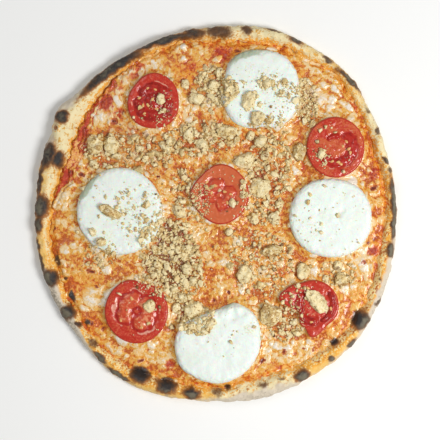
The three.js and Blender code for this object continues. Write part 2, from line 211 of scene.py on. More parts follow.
def broken(tree, field, uneven, amount, low, high):  # soft mask of a field whose edge a pattern breaks up
    values = {0: uneven, 1: amount, 2: -amount / 2}
    shift = addNode(tree, "Math", values, {"operation": "MULTIPLY_ADD"})
    total = addNode(tree, "Math", {0: field, 1: shift}, {"operation": "ADD"})
    limits = {"Value": total, "From Min": low, "From Max": high}
    return addNode(tree, "MapRange", limits, {"interpolation_type": "SMOOTHSTEP"})


# A plan has noise patterns as [size, detail, distortion], relief as [pattern, depth], and colours laid over
# each other as [[field, pattern that breaks its edge, amount, low, high], colour], where MULTIPLY tints
def makeMaterial(name, plan):
    material, shader = startMaterial(name, plan["values"])
    tree, sources = material.node_tree, {}
    place = addNode(tree, "TexCoord", output="Object")
    for pattern, (size, detail, distortion) in plan["patterns"].items():
        values = {"Vector": place, "Scale": 1 / (size * mm), "Detail": detail, "Distortion": distortion}
        sources[pattern] = addNode(tree, "TexNoise", values)
    colour = linear(plan["base"])
    for (field, *edge), hexColour, *blend in plan["layers"]:
        if field not in sources:  # carried by the piece's own mesh
            sources[field] = addNode(tree, "Attribute", None, {"attribute_name": field}, "Fac")
        mask = broken(tree, sources[field], sources[edge[0]], *edge[1:]) if edge else sources[field]
        values = {"Fac": mask, "Color1": colour, "Color2": linear(hexColour)}
        colour = addNode(tree, "MixRGB", values, {"blend_type": blend[0] if blend else "MIX"})
    tree.links.new(colour, shader.inputs["Base Color"])
    pattern, depth = plan["relief"]
    bump = addNode(tree, "Bump", {"Height": sources[pattern], "Distance": depth * mm})
    tree.links.new(bump, shader.inputs["Normal"])
    return material


# Baked wheat dough: matt, floury at the wall, golden where oil ran, blistered black by a hot oven
dough = makeMaterial("baked wheat dough", {
    "values": {"Roughness": 0.6, "IOR": 1.4},
    "patterns": {"mottle": [4.5, 4, 0.7], "fine": [1.7, 3, 0.3]},
    "relief": ["fine", 0.4],
    "base": "#F0C26A",
    "layers": [
        [["mottle", "fine", 1.2, 0.5, 0.64], "#E29834"],
        [["fine", "mottle", 0.8, 0.53, 0.62], "#F6DC9C"],
        [["pale", "fine", 0.9, 0.3, 0.75], "#F0E0B0"],
        [["mottle", "fine", 0.5, 0.56, 0.7], "#DEA84C"],  # golden swirls
        [["oil", "fine", 1.8, 0.4, 0.7], "#F4AE40"],  # oil and sauce soaked in
        [["oil", "mottle", 2.2, 0.9, 1.1], "#C4661E"],  # rust streaks in the oiled band
        [["oil", "fine", -2.4, 0.8, 1], "#F6DE9E"],  # cheese smeared up the slope
        [["toast", "fine", 0.9, 0.3, 0.9], "#B06C2C"],
        [["flour", "mottle", 0.8, 0.2, 0.8], "#D8CAB4"],  # flour left on the wall
        [["flour", "fine", 1.4, 0.85, 1.5], "#958A78"],
        [["char", "mottle", 0.5, 0.1, 0.6], "#6A4628"],
        [["char", "fine", 0.7, 0.4, 0.95], "#322D2B"],
        [["ash", "mottle", 1.6, 0.25, 1.05], "#736B58"],
    ],
})

# Tomato sauce baked on: wet red with oil in it
sauceFilm = makeMaterial("baked tomato sauce", {
    "values": {"Roughness": 0.32, "IOR": 1.45},
    "patterns": {"mottle": [6, 4, 0], "fine": [1.6, 3, 0]},
    "relief": ["fine", 0.4],
    "base": "#B63820",
    "layers": [
        [["mottle", "fine", 0.8, 0.44, 0.6], "#CA4A2A"],
        [["fine", "mottle", 0.8, 0.57, 0.74], "#DC7A3C"],
        [["fine", "mottle", -0.8, 0.6, 0.75], "#7A2412"],
        [["thin", "fine", 2, 0.6, 1], "#E0A048"],
    ],
})

# Melted mozzarella: wet cream lumps, with orange oil and browned specks in the hollows
mozzarella = makeMaterial("melted mozzarella", {
    "values": {"Roughness": 0.24, "IOR": 1.45, "Coat Weight": 0.5, "Coat Roughness": 0.12},
    "patterns": {"mottle": [4.4, 3, 1.2], "fine": [2.2, 3, 0.8]},
    "relief": ["fine", 0.9],
    "base": "#BC5A18",
    "layers": [
        [["patch", "fine", 1.3, 0.02, 0.15], "#DA8028"],
        [["patch", "fine", 1.4, 0.2, 0.34], "#E8AE4C"],
        [["patch", "mottle", 1.8, 0.4, 0.6], "#F0D09A"],
        [["patch", "fine", 1.5, 0.74, 0.98], "#F2E6D4"],
        [["gold", "mottle", 1.2, 0.35, 1], "#FFDC8C", "MULTIPLY"],  # oil baked golden
        [["red", "mottle", 1.4, 0.3, 0.8], "#E58A6A", "MULTIPLY"],  # sauce showing through
        [["red", "fine", 2.4, 0.75, 1], "#A8341A"],
        # walnut dust under the crumbs, and painted shade in the gaps between them
        [["dust_and_shade", "fine", 1, 0.35, 0.9], "#CCA068", "MULTIPLY"],
        [["dust_and_shade", "mottle", 2, 0.8, 1], "#885224"],
        [["rust", "fine", 1.2, 0.3, 0.6], "#B4541E"],
        [["rust", "fine", 1.2, 0.75, 1], "#6E2610"],
        [["char", "mottle", 0.5, 0.12, 0.55], "#6A4426"],
        [["char", "fine", 0.6, 0.4, 0.9], "#322B28"],
    ],
})

# Fresh ricotta: white curd, soft and moist, with a faint green cast
curd = makeMaterial("fresh ricotta", {
    "values": {"Roughness": 0.5, "IOR": 1.4, "Subsurface Weight": 0.3, "Subsurface Scale": 2 * mm},
    "patterns": {"broad": [14, 3, 0], "fine": [1.5, 3, 0]},
    "relief": ["fine", 0.2],
    "base": "#EEF6EE",
    "layers": [
        [["broad", "fine", 0.3, 0.45, 0.75], "#EAF1E6"],
        [["fine", "broad", 0.3, 0.7, 0.9], "#E2E9DA"],
        [["stain", "fine", 1.6, 0.5, 1.1], "#E2DAB2"],  # walnut oil
        [["wall", "fine", 0.4, 0.3, 1], "#B8C2AA"],  # painted shade on the sloping wall and round every edge, with a whey tint
    ],
})

# Fresh tomato, cut across: wet flesh in a thin skin, with darker jelly round the seeds
tomatoFlesh = makeMaterial("cut tomato", {
    "values": {"Roughness": 0.35, "IOR": 1.35, "Coat Weight": 0.5, "Coat Roughness": 0.04},
    "patterns": {"mottle": [3.5, 3, 0.6], "fine": [1.3, 3, 0.3]},
    "relief": ["fine", 0.15],
    "base": "#BE2C18",
    "layers": [
        [["mottle", "fine", 0.9, 0.46, 0.6], "#C63C26"],
        [["fine", "mottle", 0.4, 0.56, 0.7], "#D25C40"],  # pale fibres
        [["warm", "fine", 1.2, 0.3, 0.7], "#CF6438"],
        [["pith_and_highlight", "fine", 1, 0.45, 0.85], "#E29A82"],  # pale wall round the jelly, and painted highlight arcs along it
        [["jelly", "mottle", 0.7, 0.3, 0.65], "#B42212"],
        [["jelly", "mottle", 1.6, 0.8, 1.1], "#941208"],
        [["amber", "mottle", 1.6, 0.45, 0.95], "#CE502C"],
        [["amber", "mottle", 2.4, 1, 1.25], "#E08C62"],
        [["skin", "fine", 0.2, 0.4, 0.7], "#BE321E"],
    ],
})

# Tomato seed in its jelly: straw yellow, wet
tomatoSeed = makeMaterial("tomato seed", {
    "values": {"Roughness": 0.2, "IOR": 1.4},
    "patterns": {"mottle": [2, 2, 0]},
    "relief": ["mottle", 0.05],
    "base": "#EBCB8E",
    "layers": [[["mottle"], "#D98A3C"]],
})

# Chopped walnut: dry straw-coloured kernel, granular, with scraps of brown skin
kernel = makeMaterial("chopped walnut", {
    "values": {"Roughness": 0.7, "IOR": 1.45},
    "patterns": {"broad": [4, 3, 0], "fine": [1.4, 4, 0.4]},
    "relief": ["fine", 0.35],
    "base": "#F1DFAC",
    "layers": [
        [["tone", "fine", 1.6, 0.3, 0.7], "#DCC080"],
        [["tone", "fine", -1.3, 0.75, 1.1], "#B69158"],
        # painted highlights on the raised grains
        [["fine", "broad", 0.5, 0.53, 0.68], "#F6EBC8"],
        [["fine", "broad", 0.5, 0.43, 0.31], "#A0723A"],  # painted shade in the crannies of the grain
        [["foot", "fine", 1, 0.35, 0.9], "#8A5C2E"],  # oil soaked in low on each piece, and painted shade there
        [["skin", "fine", 0.9, 0.5, 0.8], "#84572C"],
        [["skin", "broad", 1, 0.9, 1.2], "#4A2E1C"],
    ],
})
print("materials made")

# Dough base with its puffed rim. Char spots are [degrees, radius, half length, half width, strength]
crust = {
    "outerEdge": [
        [0, 149.6], [15, 150.4], [30, 152.8], [45, 158.4], [60, 159.4], [75, 159.6], [90, 154.8],
        [105, 152], [122, 150], [138, 152.2], [147, 156.5], [155, 152], [180, 149.6], [195, 151.8],
        [225, 154.1], [240, 158.9], [255, 157.9], [270, 156.5], [287, 159], [300, 157.4], [315, 158],
        [330, 155.2], [345, 152.1],
    ],
    "rimFoot": [
        [0, 140.4], [20, 140.4], [35, 145.2], [50, 151.5], [60, 148.5], [75, 147], [90, 142],
        [105, 143.3], [120, 141.4], [135, 137], [145, 133.6], [155, 130.2], [163, 130.2], [172, 133.5],
        [185, 137.6], [200, 138.9], [215, 142], [230, 145.4], [242, 145.6], [256, 142.5], [270, 143.5],
        [283, 140], [300, 141.6], [315, 143.5], [330, 142.8], [345, 138.8],
    ],
    "thickness": 4,
    "rimLow": 7.5,
    "rimPuff": 0.25,
    "rimWave": 1,
    "blisters": [[20, 1.2, 7], [70, 1.4, 6], [118, 1, 8], [152, 1.6, 4], [245, 1.4, 5], [316, 1.2, 5]],
    "undersideInset": 5,
    "outerWall": [[1.2, 0.15], [0, 0.42]],
    "rimTop": [[0.93, 0.72], [0.78, 0.93], [0.56, 1], [0.33, 0.88], [0.13, 0.6], [0, 0.35]],
    "footRun": 2.5,
    "segments": 720,
    "ringsPerStation": 7,
    "meanFoot": 140,
    "footLobes": [11, 2.4],  # size of the foot's lobes, and how far they wander in and out
    "lumps": [[13, 1], [5.5, 0.8], [2.4, 0.35]],  # relief as [size, height]
    "ringBlister": [152, 149.8, 3.2, 1],  # degrees, radius, ring radius, height
    "charRise": 0.9,  # how far a charred blister stands up
    "blackest": 126,  # degrees, where the char has the least ash
    "paleness": [
        [0, 0.2], [12, 0.6], [22, 0.9], [32, 0.8], [45, 0.45], [57, 0.7], [68, 0.7], [78, 1], [90, 0.7],
        [105, 0.5], [118, 0.6], [128, 0.8], [140, 1.1], [150, 0.9], [165, 0.55], [180, 0.5], [195, 0.4],
        [208, 0.2], [225, 0.05], [245, 0], [262, 0.1], [272, 0.6], [282, 1], [293, 0.8], [302, 0.1],
        [318, 0.05], [327, 0.3], [345, 0.05],
    ],
    "oilBand": [
        [0, 0.85], [20, 0.5], [35, 0.3], [47, 0.5], [60, 0.35], [75, 0.2], [92, 0.6], [108, 0.5],
        [125, 0.45], [140, 0.3], [155, 0.2], [170, 0.4], [190, 0.45], [205, 0.8], [220, 0.95],
        [245, 0.95], [262, 0.75], [274, 0.45], [284, 0.35], [294, 0.5], [304, 0.9], [320, 0.95], [340, 1],
    ],
    "floured": [
        [0, 0.55], [30, 0.5], [60, 0.35], [85, 0.4], [110, 0.4], [136, 0.6], [143, 0.8], [150, 0.5],
        [157, 0.7], [163, 0.3], [175, 0.2], [196, 0.6], [204, 1.1], [214, 1.15], [222, 0.95], [230, 0.6],
        [250, 0.45], [266, 0.6], [275, 0.85], [282, 0.95], [292, 0.85], [299, 0.5], [312, 0.6],
        [322, 0.7], [329, 0.95], [345, 0.8],
    ],
    "charSpots": [
        [4, 148, 18, 2.4, 0.85], [14, 148.6, 2.2, 2, 0.5], [17, 147.7, 2.6, 2.2, 0.8],
        [27, 150, 3.2, 2.2, 0.6], [34, 152, 4.5, 2, 0.4], [45, 156.6, 13, 1.8, 0.75],
        [54, 157.6, 5.6, 2, 0.6], [65, 157.2, 5.6, 2.6, 0.75], [72, 158.8, 10, 1.2, 0.5],
        [80.5, 154, 4.4, 3.6, 0.6], [89, 150.2, 11, 5.4, 0.62], [97, 149.8, 8.4, 4.4, 0.78],
        [107, 149.8, 22, 2.8, 0.95], [126, 147.4, 28, 3.6, 1], [148, 150.6, 5.2, 4.8, 1],
        [161, 147, 10, 5.6, 0.85], [161.2, 137.6, 6, 4, 1], [170, 148.4, 12, 2.2, 0.75],
        [178, 145.2, 8, 5.8, 1], [183.5, 147.2, 6.6, 3.4, 0.9], [190, 149.8, 5, 1.7, 0.7],
        [196, 150, 14, 1.8, 0.6], [196.3, 137, 5.4, 2.4, 0.75], [201.5, 147, 6.5, 5.6, 0.95],
        [210, 137.2, 4, 3.2, 1], [214, 147.8, 6, 5.6, 0.95], [219, 147, 2.6, 1.6, 0.8],
        [203.5, 136, 1.8, 1.8, 0.6],
        [220.5, 139.3, 3, 3, 0.75], [226.5, 147.8, 6, 3, 0.5], [231, 153.4, 6, 2.2, 0.85],
        [239, 156.5, 10, 1.9, 0.85], [245, 147.6, 7, 5.8, 1], [254, 148.8, 7.5, 5.4, 0.95],
        [262.3, 150.6, 6.4, 4, 0.95], [270.6, 148, 4.6, 3.8, 0.5], [274, 144, 2.6, 2.6, 0.6],
        [285.5, 147, 4.2, 3, 0.5], [291.5, 147.4, 3.6, 2, 0.4], [298, 152.4, 5.4, 4.4, 1],
        [308.5, 154, 3, 2.6, 0.7], [312.5, 145.6, 3, 3, 0.9], [316.5, 156.2, 4.2, 2.6, 0.75],
        [323.5, 149.2, 7, 6.6, 1], [331.5, 153.3, 4, 2, 0.6], [338, 146.6, 2.2, 2, 0.4],
        [348, 148, 6, 3.4, 0.85], [356, 148.4, 10, 2.2, 0.85],
    ],
}


def footAt(angle):  # where the rim rises from the base
    size, reach = crust["footLobes"]
    return around(crust["rimFoot"], angle) + reach * grain(*polar(crust["meanFoot"], angle), 0, size, 2)


def crestHeight(angle):
    width = around(crust["outerEdge"], angle) - around(crust["rimFoot"], angle)
    wave = (np.sin(7 * angle) + np.sin(16 * angle + 1)) / 2
    puff = crust["rimPuff"] * width + crust["rimWave"] * wave
    return crust["rimLow"] + puff + humps(crust["blisters"], angle)


def rimHeight(radius, angle):  # surface of the rim from its foot outwards, and of the run below it
    foot = footAt(angle)
    share = (radius - foot) / (around(crust["outerEdge"], angle) - foot)
    shares, rises = np.array(crust["rimTop"][::-1]).T
    onRim = np.interp(share, shares, rises) * crestHeight(angle)
    below = np.clip((foot - radius) / crust["footRun"], 0, 1)
    return onRim + below * (crust["thickness"] - onRim)


def charAt(x, y):  # how charred and how toasted the rim is at a point
    warpedX, warpedY = warped(x, y, 1.8, 6, 30)
    angle, radius = np.degrees(np.arctan2(warpedY, warpedX)), np.hypot(warpedX, warpedY)
    char, toast = np.zeros_like(x), np.zeros_like(x)
    for degrees, middle, length, width, strength in crust["charSpots"]:
        along = np.radians((angle - degrees + 180) % 360 - 180) * middle / length
        away = np.hypot(along, (radius - middle) / width)
        char = np.maximum(char, strength * smooth(1.7, 0.3, away))
        toast = np.maximum(toast, strength * smooth(2.2, 0.8, away))
    return np.array([char, toast])


def ringAt(x, y):  # the blister with a hole in it
    degrees, radius, size, _ = crust["ringBlister"]
    middleX, middleY = polar(radius, math.radians(degrees))
    away = np.hypot(x - middleX, y - middleY) / size
    return smooth(0.5, 0, np.abs(away - 1)), smooth(0.8, 0.3, away)


def crustLumps(x, y, z):
    return sum(height * grain(x, y, z, size, 2) for size, height in crust["lumps"])


def makeCrust():
    spans = len(crust["outerWall"]) + len(crust["rimTop"]) + 1
    lastRing = spans * crust["ringsPerStation"] + 2

    def place(ring, angle):
        outer, foot = around(crust["outerEdge"], angle), footAt(angle)
        crest = crestHeight(angle)
        stations = [(outer - crust["undersideInset"], 0 * crest)]
        stations += [(outer - inset, rise * crest) for inset, rise in crust["outerWall"]]
        stations += [(foot + share * (outer - foot), rise * crest) for share, rise in crust["rimTop"]]
        stations += [(foot - crust["footRun"], crust["thickness"] + 0 * crest)]
        along = np.clip((ring - 1) / crust["ringsPerStation"], 0, spans)
        radius, height = curveThrough(np.moveaxis(np.array(stations), 1, 2), along).T
        radius = np.where((ring == 0) | (ring == lastRing), 0, radius)
        height = np.where(ring == 0, 0, np.where(ring == lastRing, crust["thickness"], height))
        return np.stack([*polar(radius, angle), np.maximum(height, 0)], -1)

    body = spunBody(lastRing + 1, crust["segments"], place)
    x, y, z = placesOf(body)
    ring, hole = ringAt(x, y)
    amount = crustLumps(x, y, z) + crust["charRise"] * charAt(x, y)[0]
    amount += crust["ringBlister"][3] * (ring - hole)
    foot = footAt(np.arctan2(y, x))
    onRim = smooth(foot - 2, foot + 1, np.hypot(x, y)) * smooth(0.2, 3, z)
    pushOut(body, amount * onRim)
    return body


def crustFields(x, y, z):
    angle, radius = np.arctan2(y, x), np.hypot(x, y)
    outer, foot = around(crust["outerEdge"], angle), footAt(angle)
    share = (radius - foot) / (outer - foot) + 0.12 * grain(x, y, 0, 9)
    char, toast = charAt(x, y) * smooth(1, 6, z + 2.5 * grain(x, y, z, 6))
    ridge = smooth(6.5, 2, radius - foot + 2 * grain(x, y, 9, 5))
    # a pale line along the rim's slope: painted highlight
    highlightLine = smooth(0.2, 0, np.abs(share - 0.36))
    ring, hole = ringAt(x, y)
    oily, floured = around(crust["oilBand"], angle), around(crust["floured"], angle)
    freckles = 0.06 + 0.5 * grain(x, y, 80, 7) + 0.5 * grain(x, y, 120, 3)
    greying = 0.6 + 0.6 * smooth(30, 75, np.abs(np.degrees(angle) % 360 - crust["blackest"]))
    return {
        "pale": around(crust["paleness"], angle) + 0.35 * grain(x, y, 40, 10) + 0.4 * highlightLine,
        "oil": np.maximum(oily * smooth(1.1, 0.3, share), 0.65 * np.maximum(ridge, ring)),
        "flour": floured * smooth(0.9 - 0.62 * floured, 1.4 - 0.62 * floured, share),
        "toast": np.maximum(toast, freckles) + hole,
        "char": char,
        "ash": greying * char**1.5 * smooth(0.3, 0.8, share),
    }


crustBody = makeCrust()
finishPiece("baked_crust", crustBody, dough, ["crust"], crustFields(*placesOf(crustBody)))

# Tomato sauce, a film that shows between cheese and rim in the upper left
sauce = {
    "top": 6,
    "base": 4.3,
    "overFoot": [[0, -1], [128, -1], [140, 1.4], [172, 1.4], [182, -1]],  # edge past the rim's foot
    "ragged": [5, 0.8, 0],  # unevenness of the edge: size, reach, level in the noise
    "tuck": 1,  # how far the edge's underside lies in
    "edgeSink": 0.2,
    "edgeThickness": 0.6,
    "segments": 360,
    "rings": 40,
    "lumps": [5, 0.4],  # relief as [size, height]
}


def raggedEdge(film, angle):  # radius to which a film reaches
    size, reach, level = film["ragged"]
    uneven = grain(*polar(noiseRing, angle), level, size)
    return footAt(angle) + around(film["overFoot"], angle) + reach * uneven


def filmRadius(film, ring, edge):  # middle of the underside, tucked edge, then rings in to the middle
    inward = edge * (1 - np.clip((ring - 2) / (film["rings"] - 2), 0, 1))
    return np.where(ring == 0, 0, np.where(ring == 1, edge - film["tuck"], inward))


def makeSauceBody():
    def place(ring, angle):
        edge = raggedEdge(sauce, angle)
        radius = filmRadius(sauce, ring, edge)
        x, y = polar(radius, angle)
        size, rise = sauce["lumps"]
        middle = sauce["top"] + rise * grain(x, y, 0, size) * smooth(0, 6, edge - radius)
        edgeHeight = rimHeight(edge, angle)
        edgeHeight += crustLumps(*polar(edge, angle), edgeHeight) - sauce["edgeSink"]
        height = middle + (edgeHeight - middle) * smooth(3.5, 0, edge - radius)
        height = np.where(ring == 1, edgeHeight - sauce["edgeThickness"], height)
        return np.stack([x, y, np.where(ring == 0, sauce["base"], height)], -1)

    return spunBody(sauce["rings"] + 1, sauce["segments"], place)


sauceBody = makeSauceBody()
sauceX, sauceY, _ = placesOf(sauceBody)
thinness = smooth(5, 0, footAt(np.arctan2(sauceY, sauceX)) + 1 - np.hypot(sauceX, sauceY))
finishPiece("sauce_film", sauceBody, sauceFilm, ["tomato_sauce"], {"thin": thinness})

# Slices that lie on the cheese. Outlines are [degrees, radius] about each slice's place, and jelly
# lies along arcs of [radius, half width, from degrees, to degrees]
slices = {
    "base": 8.3,
    "tomatoTop": 12.8,
    "ricottaTop": 15.3,
    "tomatoProfile": [[0.8, 0], [0, 0.3], [0.2, 0.8], [1.1, 1]],  # [inset, share of the thickness]
    "ricottaProfile": [[2, 0], [0, 0.28], [0.8, 0.66], [3, 0.89], [7, 0.98], [18, 1]],
    "wallFoot": 0.28,  # a slumped wall is wider above this share of the thickness
    "furthestIn": 0.7,  # of the radius
}
tomatoes = [
    {
        "at": [-52, 93],
        "outline": [
            [0, 21.5], [45, 22.5], [90, 23], [135, 20], [180, 21], [225, 23], [270, 23], [315, 23.5],
        ],
        "jelly": [[12.5, 5, 190, 345], [11.5, 4.5, 40, 140], [2, 6, 0, 360]],
        "seeds": [[-4, 10], [-8, -4], [-4, -4], [-7, -11], [-11, 2], [2, 9], [3, -7], [0, 1]],
        "warm": 0.1,
        "amber": 0.35,
    },
    {
        "at": [99, 54.5],
        "outline": [[0, 24], [90, 25], [180, 24], [270, 25.3]],
        "jelly": [[13.5, 5.4, -45, 40], [13, 5, 232, 300], [9, 2.6, 85, 125]],
        "seeds": [[6, 0.5], [11, -1.5], [9, 4.5], [2, -12.5], [4, -14], [-3, -12], [12, -5]],
        "warm": 0.45,
        "amber": 0.15,
    },
    {
        "at": [3.5, 15.5],
        "outline": [[0, 24], [45, 24], [90, 25], [135, 22], [180, 24.5], [225, 23], [270, 25], [315, 24]],
        "jelly": [[8.5, 7, 100, 195], [8, 7, 280, 380]],
        "seeds": [[-4, 7], [-9, 4], [-11, 10], [-7, 1], [6, -7], [9, 0], [4, 2]],
        "warm": 0.85,
        "amber": 0.85,
    },
    {
        "at": [-65.5, -81.5],
        "outline": [
            [0, 26], [45, 26.5], [75, 24], [105, 27], [150, 26.5], [180, 26.5], [225, 26], [270, 26.5],
            [315, 26],
        ],
        "jelly": [[10, 8.5, 100, 205], [10, 8.5, 285, 400]],
        "seeds": [[-13, -7], [-4, 11], [13, 8], [4, -13], [10, -9]],
        "warm": 0.3,
        "amber": 1,
    },
    {
        "at": [81, -75],
        "outline": [
            [0, 20.8], [20, 20.2], [52, 19.6], [84, 19.6], [120, 20.1], [149, 25.6], [172, 29], [188, 20.1],
            [210, 14], [237, 20.2], [252, 22.1], [266, 28], [298, 21.5], [326, 21.6],
        ],
        "jelly": [[15.5, 3, -60, 30], [15, 4, 225, 270], [12, 4, 150, 200]],
        "seeds": [[14, -4], [-2, -15], [-18, 7], [-5, 13]],
        "warm": 0.1,
        "amber": 0.3,
    },
]
ricottas = [
    {
        "at": [36, 102],
        "outline": [
            [0, 33], [25, 34], [50, 34.5], [90, 33], [115, 34], [139, 33.5], [150, 31.5], [163, 30],
            [178, 28.5], [186, 30], [194, 32.5], [205, 32], [233, 34], [258, 32.5], [274, 31], [301, 34.5],
            [331, 35],
        ],
        "slump": [[112, 1.6, 32]],  # where the wall slopes: [degrees, how much, half width]
        "curds": [],  # lumps in the top: [x, y, radius, height]
        "stains": [[-8, 18, 7, 0.6], [6, 6, 16, 0.6], [18, -6, 10, 0.6]],  # [x, y, radius, strength]
    },
    {
        "at": [-79.5, 1.5],
        "outline": [[0, 35], [90, 36], [135, 35], [180, 35.5], [225, 35.5], [270, 36], [315, 36]],
        "slump": [[145, 1.5, 26]],
        "curds": [[-24, -6, 8, -0.5]],
        "stains": [[16, 2, 18, 0.5], [-10, -22, 10, 0.6], [8, -22, 9, 0.6]],
    },
    {
        "at": [95, -4],
        "outline": [
            [0, 34], [45, 34], [70, 33], [90, 32.3], [110, 33], [135, 34], [180, 34], [225, 33.5],
            [270, 32.6], [315, 34],
        ],
        "slump": [],
        "curds": [[6, 3, 5, -0.9], [10, 6, 3, -0.8], [-2, -8, 7, -0.5]],
        "stains": [[-18, -8, 14, 0.55], [6, 2, 3, 1], [-14, 14, 10, 0.45]],
    },
    {
        "at": [2, -109],
        "outline": [
            [0, 35], [10, 35.5], [32, 38.5], [47, 39], [60, 38], [69, 37], [78, 33.5], [90, 29.5],
            [111, 27.5], [130, 29], [146, 33], [162, 35], [178, 36], [194, 36], [212, 36], [231, 33.5],
            [254, 32.3], [277, 31.8], [297, 31.3], [319, 32], [339, 33.2],
        ],
        "slump": [[75, 0.8, 14]],
        "curds": [[8, 29, 4.5, 1.9], [16, 31, 4, 1.6], [3, 25, 3.5, 1.2], [12, 24, 6, -1.8], [20, 27, 4, -1]],
        "stains": [[26, 14, 7, 0.7], [-10, 16, 12, 0.6]],
    },
]


def fromMiddle(plan, x, y):
    return x - plan["at"][0], y - plan["at"][1]


def outsideBy(plan, x, y):  # how far a point lies outside a slice
    dx, dy = fromMiddle(plan, x, y)
    return np.hypot(dx, dy) - around(plan["outline"], np.arctan2(dy, dx))


def nearestSlice(x, y):  # how far a point lies from the nearest slice
    return np.min([outsideBy(plan, x, y) for plan in tomatoes + ricottas], axis=0)


# Melted cheese. Spots are [x, y, radius, strength], and ringed blisters have a dark middle
cheese = {
    "top": 8.0,
    "base": 5.6,
    "dip": 1.3,
    "ripple": [7, 8],
    "drift": [13, 11],
    "overFoot": [  # edge past the rim's foot
        [0, 2.5], [20, 1.5], [60, 1], [85, 1], [105, 1], [124, 0.6], [136, -1.5], [143, -4], [150, -3],
        [156, -5], [162, -3.5], [167, -6], [172, -2.5], [180, 0.8], [200, 1], [215, 2], [250, 3],
        [280, 3], [300, 4], [325, 4], [345, 3.5],
    ],
    "ragged": [3, 2, 9],
    "tuck": 1.2,
    "overSauce": 0.3,  # height of a bare edge over the sauce
    "skin": 0.5,  # thickness where it climbs the rim
    "skinBreaks": 0.6,
    "segments": 700,
    "rings": 140,
    "bank": 2.6,  # how far it rises against a slice
    "bankReach": 6,
    "curdSize": 7,
    "patchHeight": 1.4,
    "lipHeight": 0.5,
    "grain": [2.2, 0.3],  # fine relief as [size, height]
    "white": [
        [-98, 83, 8, 1], [-106, 48, 6, 0.8], [-125, 14, 7, 0.9], [-74, 113, 9, 0.8], [-16, 132, 6, 0.6],
        [116, 32, 12, 1], [128, 22, 9, 1], [45, -18, 8, 0.8], [-56, -112, 13, 0.7], [-78, -112, 11, 0.7],
        [69, -116, 13, 1], [90, 98, 20, 0.9], [-80, 74, 14, 0.7], [116, -46, 14, 0.8], [-108, -20, 14, 0.7],
        [-40, 108, 14, 0.4], [-28, 139, 4, 1.3], [-100, -70, 9, 0.7], [92, -112, 10, 0.7], [62, 122, 9, 0.6],
        [122, 2, 8, 0.7], [40, -112, 10, 0.6], [-112, 30, 8, 0.5], [-30, 84, 12, 0.4],
    ],
    "orange": [
        [0, -46, 22, 0.5], [119, -70, 13, 1], [6, 80, 16, 0.6], [-110, -62, 14, 0.8], [-30, 118, 12, 0.7],
        [134, 0, 10, 0.6], [60, 70, 12, 0.5], [100, -100, 14, 0.8], [-96, -92, 12, 0.8], [10, 132, 10, 0.9],
        [-62, 40, 14, 0.4], [50, -60, 14, 0.5], [-70, 120, 8, 0.8], [66, -5, 8, 0.6], [-66, -122, 12, 0.7],
        [-20, 116, 16, 0.6],
    ],
    "red": [
        [-92, 92, 10, 0.9], [-108, 84, 8, 1], [-112, 68, 7, 1], [-112, 54, 6, 0.9], [-122, 34, 9, 1],
        [-66, 119, 10, 0.8], [-82, 84, 8, 0.6], [-84, 104, 8, 0.7], [4, 131, 9, 0.7], [-22, 124, 8, 0.5],
        [114, 88, 5, 0.8], [132, 33, 6, 0.8], [130, -32, 6, 0.9], [88, 92, 12, 0.45], [124, 30, 8, 0.5],
        [-38, -126, 5, 0.8], [-84, 76, 6, 0.6], [-70, 68, 5, 0.5],
    ],
    "blisters": [
        [-122, 33, 4.5], [-111, 32, 3.6], [-104, -48, 4.2], [-1.5, -72, 3.4], [12, -65, 2], [18, 134, 2.4],
        [42, 140, 2.4], [-63, -122, 3], [-93, -96, 3], [39, -122, 4], [58, -116, 3.6], [73, -113, 2.6],
        [82, -113, 2.4], [131, 21, 3.6], [126, -25, 3], [132, -21, 3], [123, -41, 3.6], [-135, -14, 3],
        [-84, 76, 4], [34, -28, 2.6], [137, 54, 2.6], [114, -105, 3.8], [99.5, -107, 3], [-104, -91, 3],
        [-60, 45, 2.2], [-48, 30, 2], [70, 20, 2], [-100, -60, 2.4],
    ],
    # where walnut dust lies and shade is painted between the crumbs
    "dust_and_shade": [
        [-70, 52, 34, 0.6], [-38, -40, 26, 1], [-38, -18, 16, 1], [-14, 62, 24, 0.5], [-6, 104, 15, 0.6],
        [42, 30, 24, 0.55], [74, 92, 14, 0.7], [38, -42, 22, 0.4], [-20, -84, 16, 0.8], [58, -88, 15, 0.6],
    ],
}


def cheeseLevel(x, y):  # the broad dips of the melted surface
    along = np.sin(x / cheese["ripple"][0] + np.sin(y / cheese["drift"][0]))
    across = np.sin(y / cheese["ripple"][1] - np.sin(x / cheese["drift"][1]))
    return cheese["top"] - cheese["dip"] * (2 - along - across) / 4


def cheesePatches(x, y):  # 0 in oily hollows to 1 on white lumps, the golden areas, the blisters
    warpedX, warpedY = warped(x, y, 2.2, 8, 20)
    top, tone = curds(warpedX, warpedY, cheese["curdSize"])
    lumps = top * (0.27 + 0.85 * tone) + 0.3 * grain(warpedX, warpedY, 30, 3, 2)
    lumps = lumps + 0.3 * grain(x, y, 5, 14, 2)
    white, orange = softSpots(cheese["white"], x, y), softSpots(cheese["orange"], x, y)
    edge = smooth(11, 0, around(crust["rimFoot"], np.arctan2(y, x)) - np.hypot(x, y))
    patch = 0.16 + lumps * (1 + 0.5 * white) + 0.22 * white + 0.03 * orange - 0.02 * edge
    gold = np.maximum(orange, 0.8 * edge) - 0.5 * white + 0.45 * grain(x, y, 70, 16)
    rust, lip, uneven = np.zeros_like(x), np.zeros_like(x), 0.4 * grain(x, y, 90, 3)
    for spotX, spotY, radius in cheese["blisters"]:
        away = np.hypot(warpedX - spotX, warpedY - spotY) / radius + uneven
        rust = np.maximum(rust, smooth(1, 0.2, away))
        lip = np.maximum(lip, smooth(0.4, 0.1, np.abs(away - 1.15)))
    return np.maximum(patch, 0.34 * lip), gold, rust, lip


